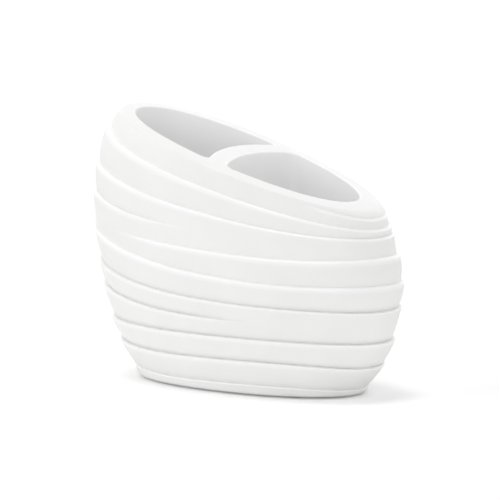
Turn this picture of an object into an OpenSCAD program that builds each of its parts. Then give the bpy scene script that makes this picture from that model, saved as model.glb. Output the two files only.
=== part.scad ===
// Toothbrush holder: one heavy cast vessel with two pockets, standing on four thin anti-slip pads.
// The rim is a plane that slopes down to the right. The wall is wrapped in bands whose top edges
// stand proud as rounded ledges; some of the ledges fade out part of the way round.
// Frame: origin on the floor under the middle of the overall length and depth, +X to the low end,
// -Y the front, +Z up.

/* [Vessel] */
// Length of the widest level of the vessel, without its ledges
body_l = 128.7; // [110:0.1:150]
// Depth of the widest level of the vessel, without its ledges
body_d = 64.4; // [56:0.1:76]
// Height of the rim's outer edge above the floor, over the middle of the base
rim_mid_h = 85.5; // [75:0.1:100]
// Slope of the rim plane, falling towards the low end, in degrees
rim_tilt = 16.75; // [10:0.25:20]
// Roundness of the plan outline, where 2 is an ellipse and more is squarer
plan_power = 2.12; // [2:0.01:2.6]

/* [Bands] */
// How far each ledge stands out past the foot of the band above it
ledge_step = 1.3; // [0.4:0.05:2]
// Height of the rounded nose of a full ledge
ledge_nose_h = 0.75; // [0.5:0.05:1.6]
// Place of the sliver ledge, from the rounded edge of the rim at 0 to the top ledge at 1
sliver_share = 0.1; // [0.05:0.01:0.5]
// How far the foot of the wall stands out from its side profile
plinth_out = 0.7; // [0:0.05:1.2]
// Angle over which the split ledge rises at the high end, in degrees
split_rise_angle = 18; // [10:1:25]

/* [Rim] */
// How far the rim stands out from the side profile, where it isn't over the sliver ledge
rim_out = 0.3; // [0:0.05:1]
// How much higher the mouths of the pockets are than the outer edge of the rim
rim_crown = 0.4; // [0:0.05:1.5]
// Width of the rounded outer edge of the rim at the high end
rim_round_high = 1.2; // [0.6:0.05:2.5]
// Height of the rounded outer edge of the rim at the high end
rim_round_high_h = 2.5; // [1:0.1:3.5]
// Width and height of the rounded outer edge along the sides
rim_round_mid = 0.5; // [0.3:0.05:1.5]
// Width of the rounded outer edge at the low end
rim_round_low = 3; // [1.5:0.1:3.5]
// Height of the rounded outer edge at the low end
rim_round_low_h = 1.8; // [1:0.1:3]
// Rounding of the mouths of the pockets
mouth_round = 0.5; // [0.3:0.05:1.6]

/* [Pockets] */
// Length of the two pockets together, divider included, at their floor
pockets_l = 91.4; // [80:0.2:93]
// Depth of the pockets from front to back at their floor
pockets_d = 41.2; // [34:0.2:43]
// Shift of the pockets towards the high end
pockets_shift = 1.9; // [0:0.1:3]
// Height of the pocket floors above the base
floor_t = 9; // [6:0.5:14]
// Draft of the pocket walls, in degrees
wall_draft = 2; // [0.5:0.1:2.5]
// Rounding between the pocket walls and floors
floor_round = 5; // [2:0.25:6]
// Thickness of the divider at the floor
divider_t = 10.5; // [8:0.25:13]
// Draft of each face of the divider, in degrees
divider_draft = 1; // [0.3:0.1:1.2]
// Distance of the divider's middle from the middle of the pockets, towards the high end
divider_shift = 3.5; // [0:0.1:8]
// Turn of the divider about the upright, its back end towards the high end, in degrees
divider_turn = 3.8; // [-6:0.1:6]
// Bow of the divider towards the high end
divider_bow = 4.3; // [1:0.1:7]
// Length of the rounded corners where the divider meets the wall
corner_l = 4; // [1.5:0.25:5]

/* [Base] */
// Distance of the middle of the base from the middle of the overall length, towards the low end
base_shift = 2.4; // [0:0.1:4]
// Rounding of the lower edge of the base
base_round = 1; // [0.3:0.05:1.5]
// Thickness of the anti-slip pads
pad_h = 0.8; // [0.5:0.05:2]
// Diameter of the anti-slip pads
pad_d = 10; // [6:0.5:11]
// Distance between the pads along the length
pad_spread_l = 58; // [40:1:62]
// Distance between the pads from front to back
pad_spread_d = 22; // [16:0.5:23]

/* [Hidden] */
// The wall and the pockets are worked out about the upright axis through the middle of the base

vessel_colour = [0.96, 0.96, 0.95];
pad_colour = [0.80, 0.81, 0.80];

body_half_l = body_l / 2;
depth_share = body_d / body_l;
rim_slope = tan(rim_tilt);
rim_drop = rim_slope * body_half_l;

// The side profile at evenly spaced levels, from the floor up: the half length and the sideways
// lean of each level, as shares of the half length of the widest one
level_step_share = 0.175;
half_length_shares = [0.742, 0.884, 0.963, 1, 0.987, 0.950, 0.934, 0.850, 0.760];
lean_shares = [0, 0.009, -0.002, -0.018, -0.071, -0.107, -0.065, 0.001, 0.066];

// The ledges from the top down. Each is a wavy line round the vessel: its level, its tilt, its bow,
// its skew and its rise at the high end. The tilt is a share of the drop of the rim plane over half
// the length, the others are shares of the height of the rim's middle
ledge_shares = [
  [0.931, -0.896, 0.007, -0.002, 0],
  [0.820, -0.600, 0.014, 0.002, 0],
  [0.730, -0.428, 0.012, -0.010, 0],
  [0.643, -0.169, 0.007, 0.005, 0.070],
  [0.562, -0.380, 0.029, -0.002, 0],
  [0.441, -0.296, 0.021, -0.006, 0],
  [0.362, -0.180, 0.021, -0.006, 0],
  [0.261, -0.037, -0.001, -0.003, 0],
  [0.159, -0.057, -0.001, -0.008, 0],
  [0.052, -0.039, 0, -0.007, 0]
];
ledges = len(ledge_shares) + 1;

// Where each ledge fades, sliver ledge first: the angles from the high end at which it is nothing
// and at which it is whole. The second pair brings a ledge back at the high end itself
whole_way = [-20, -10, -20, -10];
ledge_fades = [
  [136, 150, 136, 150],
  whole_way,
  whole_way,
  [90, 60, 90, 60],
  [50, 85, 36, 22],
  whole_way,
  whole_way,
  [112, 85, 112, 85],
  whole_way,
  whole_way,
  whole_way
];

// Directions behind the high end at which the two top ledges are interrupted, and the angles on
// each side of them over which they come back
gap_angles = [150, 140];
gap_spread = [20, 48];

// How far each ledge stands out at the high end and at the low end, sliver ledge first, as shares
// of the step of a full ledge
ledge_step_shares = [
  [0.4, 0.4],
  [1.0, 0.8],
  [0.85, 0.85],
  [0.8, 0.95],
  [0.9, 0.9],
  [0.85, 1],
  [0.95, 1],
  [0.85, 0.95],
  [1.1, 1],
  [1.1, 0.9],
  [0.3, 0.3]
];

// Height of the nose of each ledge, sliver ledge first, as shares of the nose of a full ledge
nose_h_shares = [0.6, 1, 1, 0.8, 1, 1.3, 0.7, 0.6, 0.6, 0.6, 0.6];

// The nose of a ledge: how far out and how far down it is at each of its points
nose_out_shares = [0, 0.5, 0.85, 1];
nose_down_shares = [0, 0.12, 0.4, 1];

// Part of a band's height that the nose at its head may take, and part of the height over the top
// ledge that the rounded edge of the rim may take
nose_limit_share = 0.4;
rim_limit_share = 0.9;

// Directions in which the edge of the rim is rounded the most, by the high end and by the low end,
// and the angles on each side of them over which this rounding falls off
high_round_angle = 200;
high_round_spread = [10, 35];
low_round_angle = 40;
low_round_spread = [44, 84];

around = 72;
step_angle = 360 / around;
round_turns = [0, 30, 60, 90];
settle_steps = 14;

// Steps of the ring that stay clear of the divider on each side of it
divider_steps = 2;
quarter_steps = around / 4;
wall_steps = around / 2 - 2 * divider_steps;
corner_steps = 5;
face_steps = 10;
chain_steps = face_steps + 2 * corner_steps;
loop_points = wall_steps + chain_steps;

// Smooth step from 0 to 1 as x goes from a to b
function ramp(x, a, b) = let (s = min(1, max(0, (x - a) / (b - a)))) s * s * (3 - 2 * s);

// Smooth curve through evenly spaced values, read at place s
function along(v, s) =
  let (
    i = min(len(v) - 2, max(0, floor(s))),
    f = s - i,
    p1 = v[i],
    p2 = v[i + 1],
    p0 = i > 0 ? v[i - 1] : 2 * p1 - p2,
    p3 = i < len(v) - 2 ? v[i + 2] : 2 * p2 - p1
  )
  p1 + f * ((p2 - p0) + f * ((2 * p0 - 5 * p1 + 4 * p2 - p3) + f * (3 * p1 - p0 - 3 * p2 + p3))) / 2;

function half_length(z) = body_half_l * along(half_length_shares, z / (level_step_share * rim_mid_h));
function lean(z) = body_half_l * along(lean_shares, z / (level_step_share * rim_mid_h));

// Plan outline of half length a and half depth b, at angle u from the low end
function oval_x(u, a) = a * sign(cos(u)) * pow(abs(cos(u)), 2 / plan_power);
function oval_y(u, b) = b * sign(sin(u)) * pow(abs(sin(u)), 2 / plan_power);

// Point of the wall at angle u and height z, moved outward by out
function wall_point(u, z, out) =
  let (a = half_length(z))
  [lean(z) + oval_x(u, a + out), oval_y(u, a * depth_share + out), z];

function rim_plane(x) = rim_mid_h - rim_slope * x;

// Height at which the wall, moved outward by out, meets the rim plane
function rim_z(u, out, n = settle_steps, z = rim_mid_h) =
  n == 0 ? z : rim_z(u, out, n - 1, (z + rim_plane(wall_point(u, z, out)[0])) / 2);

// Angle from the high end, the same on the front and on the back
function from_high(u) = abs(180 - u);

// Angle between the directions u and v
function angle_between(u, v) = let (d = abs(u - v)) min(d, 360 - d);

// Height of ledge k at angle u, where ledge 0 is the sliver under the rim
function ledge_z(k, u) =
  k == 0
    ? let (top = rim_edge_z(u)) top - sliver_share * (top - ledge_z(1, u))
    : let (s = ledge_shares[k - 1], rise = exp(-pow(from_high(u) / split_rise_angle, 2)))
      s[1] * rim_drop * cos(u) + rim_mid_h * (s[0] + s[2] * cos(2 * u) + s[3] * cos(3 * u) + s[4] * rise);

// Width and height of the rounded outer edge of the rim at angle u. The height is limited by the
// wall between the rim and the top ledge
function rim_round(u) =
  let (
    high = ramp(angle_between(u, high_round_angle), high_round_spread[1], high_round_spread[0]),
    low = ramp(angle_between(u, low_round_angle), low_round_spread[1], low_round_spread[0]),
    mid = 1 - high - low,
    room = rim_z(u, 0) - ledge_z(1, u)
  )
  [rim_round_high * high + rim_round_mid * mid + rim_round_low * low,
   min(rim_limit_share * room, rim_round_high_h * high + rim_round_mid * mid + rim_round_low_h * low)];

// Height at which the rounded outer edge of the rim ends on the wall
function rim_edge_z(u) = rim_z(u, 0) - rim_round(u)[1];

// How much of ledge k there is at angle u
function ledge_share(k, u) =
  let (
    f = ledge_fades[k],
    v = from_high(u),
    gap = k == 1 || k == 2 ? ramp(angle_between(u, gap_angles[k - 1]), gap_spread[0], gap_spread[1]) : 1
  )
  gap * max(ramp(v, f[0], f[1]), ramp(v, f[2], f[3]));

// Foot of band k, and the height from which its neighbour above starts
function band_foot(k, u) = k < ledges - 1 ? ledge_z(k + 1, u) : pad_h + base_round;
function band_head(k, u) = k > 0 ? ledge_z(k - 1, u) : rim_edge_z(u);

// Height of the nose of ledge k
function nose_h(k, u) =
  min(ledge_nose_h * nose_h_shares[k], nose_limit_share * (ledge_z(k, u) - band_foot(k, u)));

// How far the rim's edge is out at angle u
function edge_out(u) = rim_out * (1 - ledge_share(0, u));

// How far ledge k stands out at angle u
function step_out(k, u) =
  let (s = ledge_step_shares[k])
  ledge_step * (s[0] + s[1] - (s[0] - s[1]) * cos(u)) / 2;

// How far the band above ledge k is out at its head
function head_out(k, u) = k > 0 ? step_out(k - 1, u) : edge_out(u);

// How far out the wall is at height z by ledge k, where share s of the nose is out
function nose_out(k, u, z, s) =
  let (
    w = ledge_share(k, u),
    plain = (z - band_foot(k, u)) / (band_head(k, u) - band_foot(k, u))
  )
  (1 - w) * plain * head_out(k, u) + w * s * step_out(k, u);

function nose_point(k, u, j) =
  let (z = ledge_z(k, u) - nose_h(k, u) * nose_down_shares[j])
  wall_point(u, z, nose_out(k, u, z, nose_out_shares[j]));

// Point half way down band k
function band_point(k, u) =
  let (
    head = ledge_z(k, u) - nose_h(k, u),
    foot = band_foot(k, u),
    last = k == ledges - 1,
    foot_out = last ? plinth_out : nose_out(k + 1, u, foot, 0),
    z = (head + foot) / 2
  )
  wall_point(u, z, (nose_out(k, u, head, 1) + foot_out) / 2);

// Rounded outer edge of the rim, from the flat on top at turn 0 to the wall at turn 90
function rim_edge_point(u, turn) =
  let (
    size = rim_round(u),
    out = edge_out(u) - size[0] * (1 - sin(turn)),
    z = rim_z(u, out)
  )
  wall_point(u, z - size[1] * (1 - cos(turn)), out);

function base_edge_point(u, turn) =
  wall_point(u, pad_h + base_round * (1 - sin(turn)), plinth_out - base_round * (1 - cos(turn)));

function ring(point) = [for (i = [0:around - 1]) point(i * step_angle)];

wall_rings = concat(
  [for (t = round_turns) ring(function (u) rim_edge_point(u, t))],
  [for (k = [0:ledges - 1]) each concat(
    [for (j = [0:len(nose_out_shares) - 1]) ring(function (u) nose_point(k, u, j))],
    [ring(function (u) band_point(k, u))]
  )],
  [for (t = round_turns) ring(function (u) base_edge_point(u, t))]
);

// Size of the pocket core at height z: it widens upward by the draft
function core_grow(z) = (z - pad_h - floor_t) * tan(wall_draft);
function core_half_l(z) = pockets_l / 2 + core_grow(z);
function core_half_d(z) = pockets_d / 2 + core_grow(z);

// Face of the divider on one side (-1 the high end, 1 the low end) at height z and depth y
divider_radius = (pow(pockets_d / 2, 2) + pow(divider_bow, 2)) / (2 * divider_bow);
function divider_face(side, y, z, grow) =
  let (
    half_t = divider_t / 2 - (z - pad_h - floor_t) * tan(divider_draft),
    bow_x = divider_radius - sqrt(pow(divider_radius, 2) - y * y)
  )
  bow_x - divider_shift - y * tan(divider_turn) + side * (half_t - grow);

// Angle from the low end, front and back alike, at which the wall of a pocket ends by its corner,
// where y is the depth of the end of the divider
function wall_end_angle(side, y, z, grow) =
  let (x = divider_face(side, y, z, grow) + side * corner_l)
  acos(sign(x) * pow(abs(x) / (core_half_l(z) + grow), plan_power / 2));

// Point j of the outline of one pocket at height z, widened by grow. It runs along the wall from
// the back to the front, round a corner, along the divider to the back and round the other corner
function pocket_xy(side, j, z, grow) =
  j <= wall_steps ? pocket_wall_xy(side, j / wall_steps, z, grow)
  : pocket_chain_xy(side, j - wall_steps, z, grow);

function pocket_wall_xy(side, share, z, grow) =
  let (
    half_d = core_half_d(z) + grow,
    back = wall_end_angle(side, half_d, z, grow),
    front = wall_end_angle(side, -half_d, z, grow),
    u = back + share * ((side < 0 ? 360 : 0) - back - front)
  )
  [oval_x(u, core_half_l(z) + grow), oval_y(u, half_d)];

function pocket_chain_xy(side, c, z, grow) =
  let (
    half_d = core_half_d(z) + grow,
    face_y = half_d - corner_l,
    back = c > corner_steps + face_steps,
    end = back ? 1 : -1,
    corner = [divider_face(side, end * half_d, z, grow), end * half_d],
    u = wall_end_angle(side, corner[1], z, grow),
    wall_end = [oval_x(u, core_half_l(z) + grow), end * oval_y(u, half_d)],
    face_end = [divider_face(side, end * face_y, z, grow), end * face_y],
    q = (back ? chain_steps - c : c) / corner_steps,
    y = -face_y + 2 * face_y * (c - corner_steps) / face_steps
  )
  q < 1 ? (1 - q) * (1 - q) * wall_end + 2 * q * (1 - q) * corner + q * q * face_end
  : [divider_face(side, y, z, grow), y];

function pocket_point(side, j, z, grow) =
  let (p = pocket_xy(side, j, z, grow))
  [p[0] - pockets_shift, p[1], z];

// Height at which the wall of a pocket meets the crowned rim
function mouth_z(side, j, grow, n = settle_steps, z = rim_mid_h) =
  n == 0 ? z
  : mouth_z(side, j, grow, n - 1, (z + rim_plane(pocket_point(side, j, z, grow)[0]) + rim_crown) / 2);

function mouth_point(side, j, turn) =
  let (grow = mouth_round * (1 - sin(turn)), z = mouth_z(side, j, grow) - mouth_round * (1 - cos(turn)))
  pocket_point(side, j, z, grow);

function floor_point(side, j, turn) =
  pocket_point(side, j, pad_h + floor_t + floor_round * (1 - sin(turn)), -floor_round * (1 - cos(turn)));

function pocket_loops(side) = concat(
  [for (t = round_turns) [for (j = [0:loop_points - 1]) mouth_point(side, j, t)]],
  [for (t = round_turns) [for (j = [0:loop_points - 1]) floor_point(side, j, t)]]
);

high_loops = pocket_loops(-1);
low_loops = pocket_loops(1);

function flat(rows) = [for (r = rows) each r];

// Bands of quads between rows of n points that start at point first
function quads(first, rows, n, flip) = [
  for (r = [0:rows - 2], i = [0:n - 1])
    let (
      a = first + r * n + i,
      b = first + r * n + (i + 1) % n,
      c = b + n,
      d = a + n
    )
    each flip ? [[a, b, c], [a, c, d]] : [[a, c, b], [a, d, c]]
];

// Fan that closes a loop of n points onto one middle point
function fan(first, n, middle, flip) = [
  for (i = [0:n - 1])
    flip ? [first + i, middle, first + (i + 1) % n] : [first + i, first + (i + 1) % n, middle]
];

module vessel_shell() {
  wall_count = len(wall_rings) * around;
  loop_count = len(high_loops) * loop_points;
  high_first = wall_count;
  low_first = wall_count + loop_count;
  base_middle = low_first + loop_count;
  high_middle = base_middle + 1;
  low_middle = base_middle + 2;
  high_floor = high_loops[len(high_loops) - 1][0][2];
  middle_x = pockets_l / 4;
  points = concat(
    flat(wall_rings), flat(high_loops), flat(low_loops),
    [[0, 0, pad_h], [-middle_x, 0, high_floor], [middle_x, 0, high_floor]]
  );

  // Ring steps at which the rim changes from one pocket to the other, at the back
  low_step = quarter_steps - divider_steps;
  high_step = quarter_steps + divider_steps;

  // Flat of the rim: a strip beside each pocket, a strip along the divider and two end patches
  high_strip = [for (i = [0:wall_steps - 1])
    let (o = high_step + i, p = high_first + i)
    each [[o, p, o + 1], [o + 1, p, p + 1]]];
  low_strip = [for (i = [0:wall_steps - 1])
    let (o = (low_step - i + around) % around, m = (low_step - i - 1 + around) % around, p = low_first + i)
    each [[o, m, p], [m, p + 1, p]]];
  divider_strip = [for (c = [0:chain_steps - 1])
    let (
      h0 = high_first + wall_steps + c,
      h1 = high_first + (wall_steps + c + 1) % loop_points,
      l0 = low_first + wall_steps + c,
      l1 = low_first + (wall_steps + c + 1) % loop_points
    )
    each [[h0, h1, l0], [h1, l1, l0]]];
  back_patch = concat(
    [for (i = [low_step:quarter_steps - 1]) [i, low_first, i + 1]],
    [[quarter_steps, low_first, high_first]],
    [for (i = [quarter_steps:high_step - 1]) [i, high_first, i + 1]]
  );
  front = around - quarter_steps;
  high_end = high_first + wall_steps;
  low_end = low_first + wall_steps;
  front_patch = concat(
    [for (i = [front - divider_steps:front - 1]) [i, high_end, i + 1]],
    [[front, high_end, low_end]],
    [for (i = [front:front + divider_steps - 1]) [i, low_end, i + 1]]
  );

  faces = concat(
    quads(0, len(wall_rings), around, true),
    fan(wall_count - around, around, base_middle, false),
    quads(high_first, len(high_loops), loop_points, false),
    fan(high_first + loop_count - loop_points, loop_points, high_middle, true),
    quads(low_first, len(low_loops), loop_points, true),
    fan(low_first + loop_count - loop_points, loop_points, low_middle, false),
    high_strip, low_strip, divider_strip, back_patch, front_patch
  );
  polyhedron(points = points, faces = faces);
}

module vessel() {
  color(vessel_colour)
    translate([base_shift, 0, 0])
      vessel_shell();
}

// Round anti-slip pad stuck flat under the base, on one side of each middle line
module foot_pad(side_x, side_y) {
  color(pad_colour)
    translate([base_shift + side_x * pad_spread_l / 2, side_y * pad_spread_d / 2, 0])
      cylinder(h = pad_h, d = pad_d, $fn = 64);
}

vessel();
foot_pad(-1, -1);  // foot_pad_front_left
foot_pad(1, -1);  // foot_pad_front_right
foot_pad(-1, 1);  // foot_pad_back_left
foot_pad(1, 1);  // foot_pad_back_right
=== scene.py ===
import math
import bpy
import bmesh
import numpy as np
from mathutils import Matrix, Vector


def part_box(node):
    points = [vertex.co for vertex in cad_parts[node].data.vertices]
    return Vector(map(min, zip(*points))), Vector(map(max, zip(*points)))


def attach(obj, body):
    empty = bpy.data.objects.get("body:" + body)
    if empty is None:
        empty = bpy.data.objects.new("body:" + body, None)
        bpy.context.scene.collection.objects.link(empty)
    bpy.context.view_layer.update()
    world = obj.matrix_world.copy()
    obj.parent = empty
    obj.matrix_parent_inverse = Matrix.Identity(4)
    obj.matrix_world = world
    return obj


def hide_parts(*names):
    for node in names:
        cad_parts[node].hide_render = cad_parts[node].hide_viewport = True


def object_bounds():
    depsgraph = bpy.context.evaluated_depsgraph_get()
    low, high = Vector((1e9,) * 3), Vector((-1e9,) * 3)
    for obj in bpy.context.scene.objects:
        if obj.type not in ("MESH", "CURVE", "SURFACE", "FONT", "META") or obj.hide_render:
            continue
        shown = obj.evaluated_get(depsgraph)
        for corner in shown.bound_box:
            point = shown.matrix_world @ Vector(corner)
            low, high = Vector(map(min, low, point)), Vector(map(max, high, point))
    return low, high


# Toothbrush holder of cast resin: a banded vessel with two pockets, on four anti-slip pads.
# Sizes are in millimetres and degrees until a mesh is made; Blender's own unit here is the metre.
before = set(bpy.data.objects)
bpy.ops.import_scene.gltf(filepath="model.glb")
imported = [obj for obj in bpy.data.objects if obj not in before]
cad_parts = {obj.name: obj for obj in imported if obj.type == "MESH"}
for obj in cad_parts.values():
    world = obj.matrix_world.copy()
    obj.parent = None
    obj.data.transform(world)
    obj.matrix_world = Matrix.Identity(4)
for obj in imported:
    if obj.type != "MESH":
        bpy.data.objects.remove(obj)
cadBox = [list(corner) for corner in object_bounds()]
print("frame loaded:", sorted(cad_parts))

millimetre = 0.001
quarterTurn = math.pi / 2

# The kinds of node and the settings that the trees use most
mathNode, mixNode, rangeNode = "ShaderNodeMath", "ShaderNodeMix", "ShaderNodeMapRange"
clampNode, groupNode, sampleNode = "ShaderNodeClamp", "GeometryNodeGroup", "GeometryNodeSampleIndex"
readNode, storeNode = "GeometryNodeInputNamedAttribute", "GeometryNodeStoreNamedAttribute"
ofColour, smoothly, unlimited = {"data_type": "RGBA"}, {"interpolation_type": "SMOOTHSTEP"}, {"clamp": False}


# Adds one node. A word as its settings is its operation, a list of inputs goes to its sockets in
# order, and a node given as an input stands for its first output
def addNode(tree, kind, settings=None, inputs=()):
    node = tree.nodes.new(kind)
    if isinstance(settings, str):
        settings = {"operation": settings}
    for name, value in (settings or {}).items():
        setattr(node, name, value)
    for key, value in inputs.items() if isinstance(inputs, dict) else enumerate(inputs):
        if isinstance(value, bpy.types.Node):
            value = value.outputs[0]
        if isinstance(value, bpy.types.NodeSocket):
            tree.links.new(value, node.inputs[key])
        else:
            node.inputs[key].default_value = value
    return node


# Sockets that don't carry a number
socketKinds = {"geometry": "Geometry", "table": "Geometry", "point": "Vector", "around": "Int",
               "material": "Material"}


# Starts a geometry tree with named inputs and outputs, and gives it with its inputs
def startTree(name, inputs, outputs):
    tree = bpy.data.node_groups.new(name, "GeometryNodeTree")
    for way, labels in (("INPUT", inputs), ("OUTPUT", outputs)):
        for label in labels:
            kind = "NodeSocket" + socketKinds.get(label, "Float")
            tree.interface.new_socket(name=label, in_out=way, socket_type=kind)
    return tree, tree.nodes.new("NodeGroupInput").outputs


# Empties the node tree of a material or a world, and gives it
def startShader(holder):
    holder.use_nodes = True
    holder.node_tree.nodes.clear()
    return holder.node_tree


def addObject(name, data):
    made = bpy.data.objects.new(name, data)
    bpy.context.scene.collection.objects.link(made)
    return made


def linearColour(code):
    values = [int(code[i:i + 2], 16) / 255 for i in (1, 3, 5)]
    return tuple(v / 12.92 if v <= 0.04045 else ((v + 0.055) / 1.055) ** 2.4 for v in values) + (1.0,)


# Points a camera or a lamp at the object, from a turn round it and a rise, and gives the way back
def aim(thing, turn, rise):
    turn, rise = math.radians(turn), math.radians(rise)
    back = Vector((math.sin(turn) * math.cos(rise), -math.cos(turn) * math.cos(rise), math.sin(rise)))
    thing.rotation_euler = (-back).to_track_quat("-Z", "Y").to_euler()
    return back


stage = {
    "azimuth": 36.861,
    "elevation": 7.401,
    # In metres
    "distance": 1.5,
    "lookAt": (0.008995, -0.009631, 0.051989),
    "floorSide": 40.0,
    "lens": 292.35,
    "sensorWidth": 36,
    "floorColour": "#ffffff",
    "floorRoughness": 0.5,
    "floorGlow": 0.12,
    "skyStrength": 0.4,
    "skySeen": 1.0,
    # Each lamp's turn to the right of the camera, its rise and the width of its light in degrees, and
    # its strength
    "lamps": {
        "overheadLamp": (270, 84, 20, 0.75),
        "leftPanel": (270, 26, 60, 0.82),
        "frontFill": (355, 4, 50, 0.92),
        "rightPanel": (94, 26, 50, 0.34),
        "backPanel": (165, 25, 70, 0.78),
    },
}
white = linearColour(stage["floorColour"])

cameraData = bpy.data.cameras.new("camera")
cameraData.lens = stage["lens"]
cameraData.sensor_width = stage["sensorWidth"]
camera = addObject("camera", cameraData)
cameraBack = aim(camera, stage["azimuth"], stage["elevation"])
camera.location = Vector(stage["lookAt"]) + cameraBack * stage["distance"]
bpy.context.scene.camera = camera
bpy.context.scene.view_settings.view_transform = "Standard"

# White studio, brighter where the camera or a reflection sees it than where it only lights
world = bpy.data.worlds.new("studio")
bpy.context.scene.world = world
tree = startShader(world)
rays = addNode(tree, "ShaderNodeLightPath").outputs
seen = addNode(tree, mathNode, "MAXIMUM", [rays["Is Camera Ray"], rays["Is Glossy Ray"]])
softSky = addNode(tree, "ShaderNodeBackground", None, {"Color": white, "Strength": stage["skyStrength"]})
whiteSky = addNode(tree, "ShaderNodeBackground", None, {"Color": white, "Strength": stage["skySeen"]})
skyMix = addNode(tree, "ShaderNodeMixShader", None, [seen, softSky, whiteSky])
addNode(tree, "ShaderNodeOutputWorld", None, {"Surface": skyMix})

# Wide, soft lamps as distant ones, so that the floor is evenly lit to its far edge
for label, (turn, rise, width, strength) in stage["lamps"].items():
    lampData = bpy.data.lights.new(label, "SUN")
    lampData.energy = strength
    lampData.angle = math.radians(width)
    aim(addObject(label, lampData), stage["azimuth"] + turn, rise)

# Painted white board, with a slight glow that only the camera sees
board = bpy.data.materials.new("whiteBoard")
tree = startShader(board)
rays = addNode(tree, "ShaderNodeLightPath").outputs
boardShade = addNode(tree, "ShaderNodeBsdfDiffuse", None,
                     {"Color": white, "Roughness": stage["floorRoughness"]})
glow = addNode(tree, mathNode, "MULTIPLY", [rays["Is Camera Ray"], stage["floorGlow"]])
boardGlow = addNode(tree, "ShaderNodeEmission", None, {"Color": white, "Strength": glow})
boardSum = addNode(tree, "ShaderNodeAddShader", None, [boardShade, boardGlow])
addNode(tree, "ShaderNodeOutputMaterial", None, {"Surface": boardSum})
floorMesh = bpy.data.meshes.new("floor")
half = stage["floorSide"] / 2
floorCorners = [(-half, -half, 0), (half, -half, 0), (half, half, 0), (-half, half, 0)]
floorMesh.from_pydata(floorCorners, [], [(0, 1, 2, 3)])
floorMesh.materials.append(board)
floor = addObject("floor", floorMesh)
print("camera, light and floor set")


# Starts a cast material: clouds in its colour, and a fine grain in its sheen and its surface
def startCast(name, look):
    material = bpy.data.materials.new(name)
    tree = startShader(material)
    place = addNode(tree, "ShaderNodeTexCoord").outputs["Object"]
    noises = {}
    for label, (size, detail, roughness) in look["noises"].items():
        noises[label] = addNode(tree, "ShaderNodeTexNoise", None, {
            "Vector": place, "Scale": 1 / (size * millimetre), "Detail": detail, "Roughness": roughness})
    cloudShare = addNode(tree, rangeNode, None, [noises["clouds"], *look["cloudRange"]])
    body, cloud = linearColour(look["body"]), linearColour(look["cloud"])
    tint = addNode(tree, mixNode, ofColour, {0: cloudShare, 6: body, 7: cloud})
    rough, spread = look["roughness"], look["roughnessSpread"] / 2
    sheen = addNode(tree, rangeNode, None,
                    [noises["grain"], *look["grainRange"], rough - spread, rough + spread])
    bump = addNode(tree, "ShaderNodeBump", None, {"Distance": look["grainDepth"] * millimetre,
                                                  "Strength": 1.0, "Height": noises["grain"]})
    return material, tree, noises, tint, sheen, bump


# Ends a material with its colour, its sheen and its surface
def endCast(tree, look, colour, sheen, bump):
    shade = addNode(tree, "ShaderNodeBsdfPrincipled", None, {
        "Base Color": colour.outputs[2], "Roughness": sheen, "IOR": look["refraction"], "Normal": bump})
    addNode(tree, "ShaderNodeOutputMaterial", None, {"Surface": shade})


# Cast polyester resin, filled white, released from a smooth silicone mould and left matt: a chalky soft
# shine, very fine grain from the mould, faint clouds in the filler and a slight polish on the lips. A painted
# highlight makes the lips, the rim and the pockets lighter, and painted shade makes the notches darker
resin = {
    "body": "#f4f4f3",
    "cloud": "#f2f2f1",
    # painted highlight: the lips and the rim's top lighter, and the pockets lighter against the shade in them
    "lip": "#ffffff",
    "crease": "#e1e1e0",              # painted shade: the notches above the ledges coloured darker, where shade falls
    # Each noise: mm across its features, its detail and its roughness
    "noises": {
        "clouds": (22, 4.0, 0.55),    # of the filler
        "grain": (0.9, 3.0, 0.6),     # really about 0.2 mm, and drawn coarser so that it shows
        "wave": (16, 1.0, 0.4),       # the faint hollows of a hand-finished mould
    },
    "cloudRange": (0.38, 0.66),
    "grainRange": (0.3, 0.7),
    "roughness": 0.52,
    "roughnessSpread": 0.10,
    "lipPolish": 0.14,                # how much less rough a lip is
    "refraction": 1.5,
    "grainDepth": 0.012,
    "waveDepth": 0.035,
}
castResin, tree, noises, tint, sheen, bump = startCast("castResinMattWhite", resin)
# Traces from the wall paint colour: lighter on the lips, the rim and in the pockets, a painted highlight, and
# darker in the notches, painted shade
traces = {label: addNode(tree, "ShaderNodeAttribute", {"attribute_name": label}).outputs["Fac"]
          for label in ("lip", "crease")}
for label, trace in traces.items():
    tint = addNode(tree, mixNode, ofColour, {0: trace, 6: tint.outputs[2], 7: linearColour(resin[label])})
sheen = addNode(tree, mixNode, None, {0: traces["lip"], 2: sheen, 3: resin["roughness"] - resin["lipPolish"]})
bump = addNode(tree, "ShaderNodeBump", None, {"Distance": resin["waveDepth"] * millimetre, "Strength": 1.0,
                                              "Height": noises["wave"], "Normal": bump})
endCast(tree, resin, tint, sheen, bump)

# Clear polyurethane rubber, cast as a soft pad with a pressure-sensitive film: greyish, slightly cloudy
rubber = {
    "body": "#c9ccca",
    "cloud": "#b4b8b5",
    "noises": {"clouds": (3.0, 3.0, 0.5), "grain": (0.7, 2.0, 0.5)},
    "cloudRange": (0, 1),
    "grainRange": (0.3, 0.7),
    "roughness": 0.38,
    "roughnessSpread": 0.12,
    "refraction": 1.5,
    "grainDepth": 0.02,
}
padRubber, tree, noises, tint, sheen, bump = startCast("polyurethaneRubberPad", rubber)
endCast(tree, rubber, tint, sheen, bump)
print("materials made")


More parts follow.
